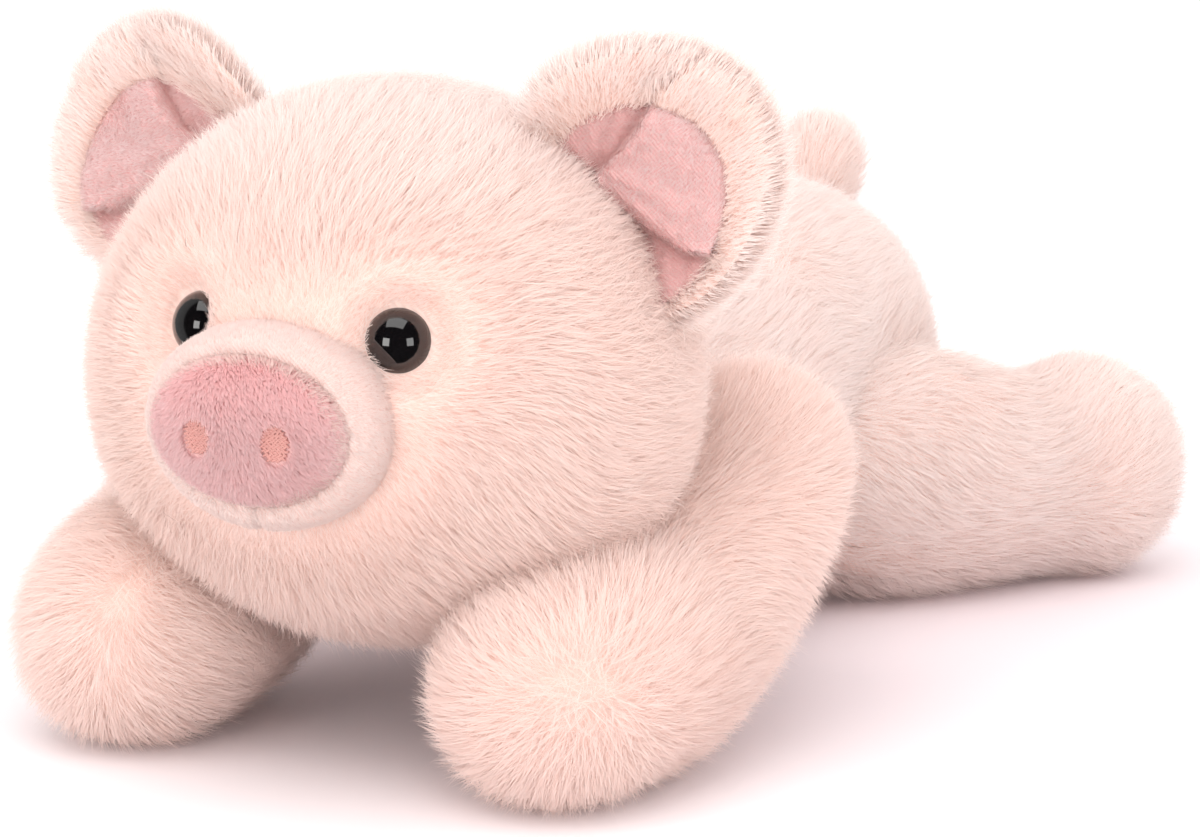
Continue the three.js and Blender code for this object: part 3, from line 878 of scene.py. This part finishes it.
def away_from(points, start, end, calm):
    """Directions away from a line, that fade to nothing on the line itself."""
    run = end - start
    share = np.clip((points - start) @ run / max(run @ run, 1e-12), 0, 1)
    apart = points - start - share[:, None] * run
    return apart / (np.linalg.norm(apart, axis=1, keepdims=True) + calm)


def worn(pieces, body):
    """The pile moves with its cloth."""
    for piece in pieces:
        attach(piece, body)


long_pile = strand_material(
    "long_peach_pile",
    srgb(253, 236, 230),
    srgb(254, 246, 243),
    srgb(255, 252, 251),
    srgb(254, 228, 218),
    srgb(255, 246, 243),
)
roots, normals = roots_on(trunk, 3.05, seed=11, hidden_by=[head, *limbs.values()])
comb = np.tile([0, 1.0, 0.15], (len(roots), 1))
worn(
    pile("body_pile", roots, normals, comb, long_fibre, seed=12, material=long_pile, parts=3,
         lean=57, clump=2.8, pull=0.3, uneven=0.5),
    "trunk",
)

# Long pile of the head: it radiates from the snout, short and close round the snout and the
# eyes, and long on the crown, the cheeks and the chin. It is painted paler up on the crown, as
# the light from above that falls there.
eye_clear, combed_from_eye = 8.5 * mm, (8 * mm, 15 * mm)
snout_covers = np.array([28.5, 30, 22.5]) * mm
# In mm: how long a shorn fibre is, and how much longer the full pile is.
shorn_fibre, grown_fibre = 4.2, 7.8
crown_painted_paler_from, crown_painted_paler_to = 120 * mm, 155 * mm
roots, normals = roots_on(head, 4.9, seed=21, hidden_by=[trunk])
clear = np.ones(len(roots), bool)
for place in eye_places.values():
    clear &= np.linalg.norm(roots - place, axis=1) > eye_clear
spread = (roots - snout_place) / snout_covers
clear &= (np.linalg.norm(spread, axis=1) > 1) | (roots[:, 1] > snout_place[1])
roots, normals = roots[clear], normals[clear]
full = face_fullness(roots)
comb = unit(roots - snout_place) + np.array([0, 0, -0.25])
for place in eye_places.values():
    from_eye = np.linalg.norm(roots - place, axis=1)
    comb += unit(roots - place) * (0.7 * (1 - eased(from_eye, *combed_from_eye)))[:, None]
# Painted light: the tint fades out toward the crown, so the crown is paler where the light from above
# falls.
worn(
    pile("head_pile", roots, normals, comb, (shorn_fibre + grown_fibre * full) * mm, seed=22,
         material=long_pile, parts=3, width=0.165, clump=2, pull=0.25,
         tint_and_shade_by=0.65 - 0.5 * eased(roots[:, 2], crown_painted_paler_from, crown_painted_paler_to)),
    "head",
)

# Long pile of the arms and legs. It parts across the front of each paw, and lies along the legs
# to the feet.
parting_calm = 14 * mm
partings = {
    "left": np.array([(58, -210, 38), (63, -207, 40)]) * mm,
    "right": np.array([(-41, -206, 36), (-46, -205, 37)]) * mm,
}
for i, ((kind, side), limb) in enumerate(limbs.items()):
    density, tint = (4.1, 0.65) if kind == "arm" else (3.25, 0)
    roots, normals = roots_on(limb, density, seed=31 + i, hidden_by=[trunk, head])
    if kind == "arm":
        comb = away_from(roots, *partings[side], parting_calm)
        lean = 42 + 22 * np.linalg.norm(comb, axis=1)
        comb -= np.array([0, 0, 0.12])
    else:
        comb = np.tile(headings[kind, side], (len(roots), 1))
        lean = 57
    worn(
        pile(f"{kind}_pile_{side}", roots, normals, comb, long_fibre, seed=41 + i,
             material=long_pile, lean=lean, width=0.17, clump=2.6, pull=0.28, uneven=0.6,
             tint_and_shade_by=tint),
        f"{kind}_{side}",
    )

# Long pile of the tail: the same fibres, a little shorter. They stand up and out from the rump
# to a soft tip.
tail_fibre = 11 * mm
roots, normals = roots_on(tail, 4, seed=51, hidden_by=[trunk])
comb = np.tile(tail_heading, (len(roots), 1))
worn(
    pile("tail_pile", roots, normals, comb, tail_fibre, seed=52, material=long_pile, lean=50,
         tint_and_shade_by=0.2),
    "tail",
)

# Ear linings: short pink plush on its own backing, sewn over the front of each ear. It is
# pinched in at the inner corner and folds across below, and its pile is painted a deeper rose
# where it is tucked in, as the shade in those recesses.
# Its fourth colour is the deeper rose that is painted as shade in the tucks.
pink_pile = strand_material(
    "short_pink_pile",
    srgb(227, 197, 197),
    srgb(235, 214, 213),
    srgb(241, 226, 226),
    srgb(236, 190, 184),
    srgb(246, 222, 219),
    share=0.35,
)
fine_rib = 0.6 * mm
pink_cloth = cloth_material(
    "pink_backing", srgb(240, 198, 196), srgb(230, 180, 178), rib=fine_rib
)
lining_width, lining_reach, lining_thickness = 42 * mm, 38 * mm, 3.2 * mm
# How far the lining's middle lies forward and out from the ear's, and how far back its hem is
# pressed.
lining_forward, lining_out = 6.2 * mm, 3.2 * mm
hem_back = 2.4 * mm
# The lobe swells most at this distance in mm from the tuck, and creases fan out from its corner.
swell_height, swell_at = 1.6 * mm, 6
crease_depth, crease_turns = 0.5 * mm, 10
crease_corner = np.array([-7.5, 0, 12]) * mm
lining_fibre = 1.7 * mm
for side, way in ways.items():
    lining, _ = ear_form(
        f"ear_lining_cloth_{side}", lining_width, lining_reach, lining_thickness, lining_forward
    )
    points = points_of(lining)
    points[:, 1] += cupped(points)
    from_middle = np.abs(points[:, 1] + lining_forward) / (lining_thickness / 2)
    points[:, 1] += hem_back * (1 - from_middle)
    points[:, 0] += lining_out
    points[:, 1] -= cupped(points)
    tucked, nearest = folded(points[:, 0] / mm, points[:, 2] / mm)
    swell = swell_height * np.exp(-(((nearest - swell_at) / swell_at) ** 2))
    swell = np.where(tucked > 0, 0, swell)
    from_corner = points - crease_corner
    fanned = np.arctan2(from_corner[:, 2], from_corner[:, 0])
    creases = crease_depth * np.sin(crease_turns * fanned + 0.5 * nearest) * np.exp(-nearest / 10)
    points[:, 1] += tuck_depth * tucked - swell + creases
    set_on_head(lining, points, way)
    lining.data.materials.append(pink_cloth)
    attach(lining, f"ear_{side}")
    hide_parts(f"ear_lining_{side}")
    roots, normals = roots_on(lining, 12.4, seed=81 + way, hidden_by=[head])
    facing_front = normals[:, 1] < 0.1
    roots, normals = roots[facing_front], normals[facing_front]
    local = (roots - ear_root * np.array([way, 1, 1])) @ ear_axes(way).T
    tucked, _ = folded(local[:, 0] / mm, local[:, 2] / mm)
    comb = np.tile([way * 0.7, 0, 0.3], (len(roots), 1))
    # Painted shade: fibres in the tucks take the pink pile's deeper rose tint.
    worn(
        pile(f"ear_lining_pile_{side}", roots, normals, comb, lining_fibre, seed=91 + way,
             material=pink_pile, lean=58, width=0.15, clump=1.5, uneven=0.8, tint_and_shade_by=tucked),
        f"ear_{side}",
    )

# Long pile of the ear backs: it grows from the edge of the lining outwards, stands up along the
# rim and lies back behind it.
# In mm: how long a fibre on the rim is, and how much shorter one in front is.
rim_fibre, front_shorter = 9.5, 3.5
hidden_past = -1.2 * mm
for side, way in ways.items():
    ear = ears[side]
    roots, normals = roots_on(ear, 6.5, seed=61 + way, hidden_by=[head])
    local = (roots - ear_root * np.array([way, 1, 1])) @ ear_axes(way).T
    along, across, _ = np.array(ear_shares).T
    covered = np.interp(local[:, 2] / lining_reach, along, across) * lining_width / 2
    past = np.abs(local[:, 0] - lining_out) - covered
    bare = (past > hidden_past) | (normals[:, 1] > 0)
    roots, normals, past = roots[bare], normals[bare], past[bare]
    forward_way = eased(-normals[:, 1], 0.2, 0.9)
    upright = forward_way * (1 - eased(past, 0, 5 * mm))
    edge = 1 - eased(np.abs(normals[:, 1]), 0.35, 0.85)
    outward = unit(roots - ear_root * np.array([way, 1, 1])) + np.array([0, 0.7, 0])
    # Painted shade: the fibres are tinted warmer where they stand up by the lining's edge, as the
    # reddish shade along that seam.
    worn(
        pile(f"ear_pile_{side}", roots, normals, outward,
             (rim_fibre - front_shorter * forward_way) * mm, seed=71 + way, material=long_pile,
             lean=67 - 12 * upright - 20 * edge, width=0.19, clump=1.6, pull=0.1, uneven=0.3,
             tint_and_shade_by=0.2 + 0.4 * upright),
        f"ear_{side}",
    )

# Snout: a round pad with its own roll round it, of short cream plush and pink plush, stuffed
# firm and sewn to the face. The roll's seam shows as a notch below.
snout_low, snout_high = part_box("snout_band")
snout_centre = (snout_low + snout_high) / 2
snout_wide, snout_tall = snout_high.x - snout_low.x, snout_high.z - snout_low.z - 1 * mm
# How far back each ring is, in mm from the front, and its shares of the width and of the height.
roll_shares = [
    (13, 0, 0),
    (11, 0.5, 0.46),
    (9, 0.72, 0.68),
    (7.8, 0.81, 0.78),
    (8.5, 0.9, 0.885),
    (12.4, 0.985, 0.985),
    (18.5, 1, 1),
    (25, 0.95, 0.95),
    (31, 0.84, 0.84),
    (35, 0, 0),
]
front = -233.5 * mm
roll_behind, roll_lower = 1.5 * mm, 0.5 * mm
notch_depth, notch_half_turn = 1.6 * mm, 0.035
gather_depth, gathers_round = 0.35 * mm, 34
roll_rings = rings_along(
    roll_shares,
    lambda row: np.array([0, front + roll_behind + row[0] * mm, snout_centre.z - roll_lower]),
    (snout_wide, 0, 0),
    (0, 0, snout_tall),
)
roll = stuffed("snout_cloth", roll_rings, 0, sides=96, rows=64)
points = points_of(roll)
around = np.arctan2(points[:, 0], points[:, 2] - snout_centre.z)
notch = np.exp(-(((np.abs(around) - math.pi) / notch_half_turn) ** 2)) * notch_depth
beside_pad = np.exp(-(((points[:, 1] - front) / mm - 8) / 3) ** 2)
gather = gather_depth * np.sin(gathers_round * around) * beside_pad
gather *= eased(np.abs(around), 0.4, 1.4)
reshape(roll, points - normals_of(roll) * (notch + gather)[:, None])
cream_cloth = cloth_material(
    "cream_backing", srgb(244, 222, 216), srgb(238, 208, 200), rib=fine_rib
)
roll.data.materials.append(cream_cloth)
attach(roll, "head")
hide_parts("snout_band", "snout_stuffing")
cream_pile = strand_material(
    "short_cream_pile",
    srgb(240, 227, 224),
    srgb(243, 234, 231),
    srgb(247, 241, 239),
    srgb(253, 232, 225),
    srgb(249, 238, 235),
)


def spread_from(roots, height, backward=0.0):
    """Directions over the snout's face, away from a point on its midline at a height."""
    return unit(np.stack([roots[:, 0], np.full(len(roots), backward), roots[:, 2] - height], 1))


sewn_down = -206 * mm
cream_fibre = 1.8 * mm
roots, normals = roots_on(roll, 12.5, seed=101)
shown = roots[:, 1] < sewn_down
roots, normals = roots[shown], normals[shown]
comb = spread_from(roots, snout_centre.z, backward=20 * mm)
worn(
    pile("snout_pile", roots, normals, comb, cream_fibre, seed=102, material=cream_pile,
         lean=62, width=0.14, clump=1.2, tint_and_shade_by=0.2),
    "head",
)

# Nose pad: a domed cushion of pink plush in the middle of the snout. Its pile is painted darker
# and duller toward the bottom, as shade, so it looks redder along the top. The stitched nostrils
# pull two dimples into it.
pad_shares = [
    (0, 0, 0),
    (0.3, 0.34, 0.32),
    (1.3, 0.62, 0.6),
    (3.2, 0.83, 0.82),
    (5.6, 0.95, 0.95),
    (8.2, 1, 1),
    (10.5, 0.96, 0.96),
    (12.5, 0, 0),
]
pad_wide, pad_tall, pad_behind = 51 * mm, 34.2 * mm, 0.6 * mm
nose_cloth_depth = 1 * mm
# In mm: how far out and how much lower than the snout's middle the nostrils are, and half the
# size of the dimples that they pull.
nostril_out, nostril_lower = 10, 1
dimple_half_wide, dimple_half_tall = 5.2, 6.2
dimple_depth, dimpled_before = 1.8 * mm, 7 * mm
pad_rings = rings_along(
    pad_shares,
    lambda row: np.array([0, front + pad_behind + row[0] * mm, snout_centre.z]),
    (pad_wide, 0, 0),
    (0, 0, pad_tall),
)
pad = stuffed("nose_cloth", pad_rings, nose_cloth_depth, sides=96, rows=64)
nostril_places = {
    side: np.array([way * nostril_out, 0, snout_centre.z / mm - nostril_lower]) * mm
    for side, way in ways.items()
}


def from_nostril(points, place, half_wide, half_tall):
    """How far points lie from a nostril's middle, in ovals of these half sizes in mm."""
    aside, above = points[:, 0] - place[0], points[:, 2] - place[2]
    return np.hypot(aside / half_wide, above / half_tall) / mm


points = points_of(pad)
for place in nostril_places.values():
    near = from_nostril(points, place, dimple_half_wide, dimple_half_tall)
    in_face = points[:, 1] < front + dimpled_before
    points[:, 1] += dimple_depth * np.exp(-(near**2)) * in_face
reshape(pad, points)
pad.data.materials.append(pink_cloth)
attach(pad, "head")
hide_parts("nose_pad")
# Its tint colour, a dull grey-pink, is the painted shade of the pad's lower part.
nose_pile = strand_material(
    "nose_pile",
    srgb(248, 184, 184),
    srgb(254, 204, 204),
    srgb(255, 222, 222),
    srgb(226, 238, 238),
    srgb(252, 204, 204),
    share=0.35,
)


def mingled(roots, normals, spread, seed):
    """Parts the roots into two lots by chance, the second the likelier the larger the spread."""
    strayed = np.random.default_rng(seed).random(len(roots)) < spread
    return (roots[~strayed], normals[~strayed]), (roots[strayed], normals[strayed])


# Cream fibres mingle with the pink ones round the rim, and the pink is painted darker and duller
# toward the bottom, as shade, so it is redder along the top.
pink_fibre, edge_fibre = 2.4 * mm, 2.6 * mm
sewn_in = front + 11 * mm
# In mm: half the size of the ovals that the nostrils take.
bare_half_wide, bare_half_tall = 4.0, 4.9
combed_from = 26 * mm
painted_shade_full_below, painted_shade_gone_above = snout_centre.z - 4 * mm, snout_high.z - 8 * mm
roots, normals = roots_on(pad, 24.5, seed=111, hidden_by=[roll])
clear = roots[:, 1] < sewn_in
for place in nostril_places.values():
    clear &= from_nostril(roots, place, bare_half_wide, bare_half_tall) > 1
roots, normals = roots[clear], normals[clear]
rim = np.hypot(roots[:, 0] / pad_wide, (roots[:, 2] - snout_centre.z) / pad_tall) * 2
pink_lot, edge_lot = mingled(roots, normals, 0.8 * eased(rim, 0.8, 1.02), seed=113)
roots, normals = pink_lot
comb = spread_from(roots, snout_centre.z + combed_from)
# Painted shade: the pink fibres are darker and duller toward the bottom of the pad, where less light
# falls.
painted_shade_share = 1 - eased(roots[:, 2], painted_shade_full_below, painted_shade_gone_above)
worn(
    pile("nose_pile", roots, normals, comb, pink_fibre, seed=112, material=nose_pile, lean=58,
         width=0.18, clump=1.4, pull=0.15, uneven=0.5, tint_and_shade_by=painted_shade_share),
    "head",
)
roots, normals = edge_lot
comb = spread_from(roots, snout_centre.z)
worn(
    pile("nose_edge_pile", roots, normals, comb, edge_fibre, seed=114, material=cream_pile,
         lean=56, width=0.15, clump=1.5, uneven=0.5, tint_and_shade_by=0.9),
    "head",
)

# Nostrils: ovals of thread embroidered through the pad, copper pink and slightly shiny. Each is
# a bed of short stitches packed close and laid a little askew.
thread, tree = new_material("copper_thread")
place = node(tree, "ShaderNodeTexCoord", output="Object")
ply = node(
    tree,
    "ShaderNodeTexWave",
    {"wave_type": "BANDS", "bands_direction": "DIAGONAL"},
    {"Vector": place, "Scale": 900.0, "Distortion": 1.0},
    output="Fac",
)
tone = node(
    tree,
    "ShaderNodeMix",
    {"data_type": "RGBA"},
    {"Factor": ply * 0.6, "A": (*srgb(214, 158, 150), 1), "B": (*srgb(188, 120, 112), 1)},
    output="Result",
)
surface(tree, node(
    tree,
    "ShaderNodeBsdfPrincipled",
    {},
    {"Base Color": tone, "Roughness": 0.42, "Specular IOR Level": 0.5, "Sheen Weight": 0.2},
))
# In mm: half the oval's size, the rows and the stitches in them, and half a stitch's size.
oval_wide, oval_tall = 3.2, 4.3
last_row, row_gap = 3.9, 0.52
stitch_gap, row_shift = 1.15, 0.5
stitch_long, stitch_wide, stitch_high = 0.95, 0.34, 0.36
slant = 0.5
for side, place in nostril_places.items():
    dice = np.random.default_rng(121)
    skin = BVHTree.FromPolygons(points_of(pad).tolist(), faces_of(pad))
    bpy.ops.object.select_all(action="DESELECT")
    bpy.ops.mesh.primitive_ico_sphere_add(subdivisions=2, radius=1)
    stitch = bpy.context.object
    shape = points_of(stitch)
    faces = np.array(faces_of(stitch))
    bpy.data.objects.remove(stitch)
    all_points, all_faces = [], []
    for row, height in enumerate(np.arange(-last_row, last_row + 0.1, row_gap)):
        half_row = oval_wide * math.sqrt(1 - (height / oval_tall) ** 2)
        first = -half_row + row_shift * (row % 2)
        for across in np.arange(first, half_row + 0.1, stitch_gap):
            at = np.array([place[0] + across * mm, front - 5 * mm, place[2] + height * mm])
            hit, normal, _, _ = skin.ray_cast(Vector(at), Vector((0, 1, 0)))
            normal = np.array(normal)
            tilt = slant * (-1) ** row + dice.normal(0, 0.15)
            along = np.array([math.cos(tilt), 0, math.sin(tilt)])
            along = along - normal * (along @ normal)
            along /= np.linalg.norm(along)
            cross = np.cross(normal, along)
            made = (
                shape[:, :1] * along * stitch_long
                + shape[:, 1:2] * cross * stitch_wide
                + (shape[:, 2:] * stitch_high + 0.35) * normal
            ) * mm + np.array(hit)
            all_faces.append(faces + len(shape) * len(all_points))
            all_points.append(made)
    mesh = bpy.data.meshes.new(f"nostril_stitches_{side}")
    mesh.from_pydata(np.vstack(all_points).tolist(), [], np.vstack(all_faces).tolist())
    stitches = bpy.data.objects.new(f"nostril_stitches_{side}", mesh)
    bpy.context.scene.collection.objects.link(stitches)
    mesh.polygons.foreach_set("use_smooth", np.ones(len(mesh.polygons), bool))
    mesh.materials.append(thread)
    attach(stitches, "head")
    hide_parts(f"nostril_{side}")

# Eyes: domed black plastic, glossy, each pushed through the cloth on a post and held by a
# washer behind.
black, tree = new_material("black_eye_plastic")
place = node(tree, "ShaderNodeTexCoord", output="Object")
smear = node(tree, "ShaderNodeTexNoise", {}, {"Vector": place, "Scale": 300.0, "Detail": 2.0})
surface(tree, node(
    tree,
    "ShaderNodeBsdfPrincipled",
    {},
    {
        "Base Color": (0.004, 0.0035, 0.004, 1),
        "Roughness": smear * 0.04 + 0.03,
        "Specular IOR Level": 0.9,
        "Coat Weight": 0.4,
        "Coat Roughness": 0.02,
    },
))
eye_radius, dome_height, back_depth, post_length = 8 * mm, 7 * mm, 3 * mm, 12.6 * mm
post_share = 0.97
for side, look in looks.items():
    bpy.ops.object.select_all(action="DESELECT")
    bpy.ops.mesh.primitive_uv_sphere_add(segments=64, ring_count=40, radius=1)
    eye = bpy.context.object
    eye.name = f"eye_bead_{side}"
    in_fixed_order(eye)
    ball = points_of(eye)
    height = ball[:, 2].copy()
    ball[:, :2] *= eye_radius
    ball[:, 2] *= np.where(height > 0, dome_height, back_depth)
    ball[height < -post_share, 2] *= post_length / back_depth
    turned = Vector(look).to_track_quat("Z", "Y").to_matrix()
    reshape(eye, ball @ np.array(turned).T + eye_places[side])
    bpy.ops.object.shade_smooth()
    eye.data.materials.append(black)
    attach(eye, "head")
    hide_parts(f"eye_{side}")

# Washers: flat rings of pale plastic that hold the eyes from inside the head. They are seen
# only with the cloth off.
washer, tree = new_material("pale_washer_plastic")
place = node(tree, "ShaderNodeTexCoord", output="Object")
mottle = node(tree, "ShaderNodeTexNoise", {}, {"Vector": place, "Scale": 200.0})
surface(tree, node(
    tree,
    "ShaderNodeBsdfPrincipled",
    {},
    {"Base Color": (0.75, 0.74, 0.71, 1), "Roughness": mottle * 0.2 + 0.35},
))
for side in ways:
    part = bpy.data.objects[f"eye_washer_{side}"]
    part.data.materials.clear()
    part.data.materials.append(washer)
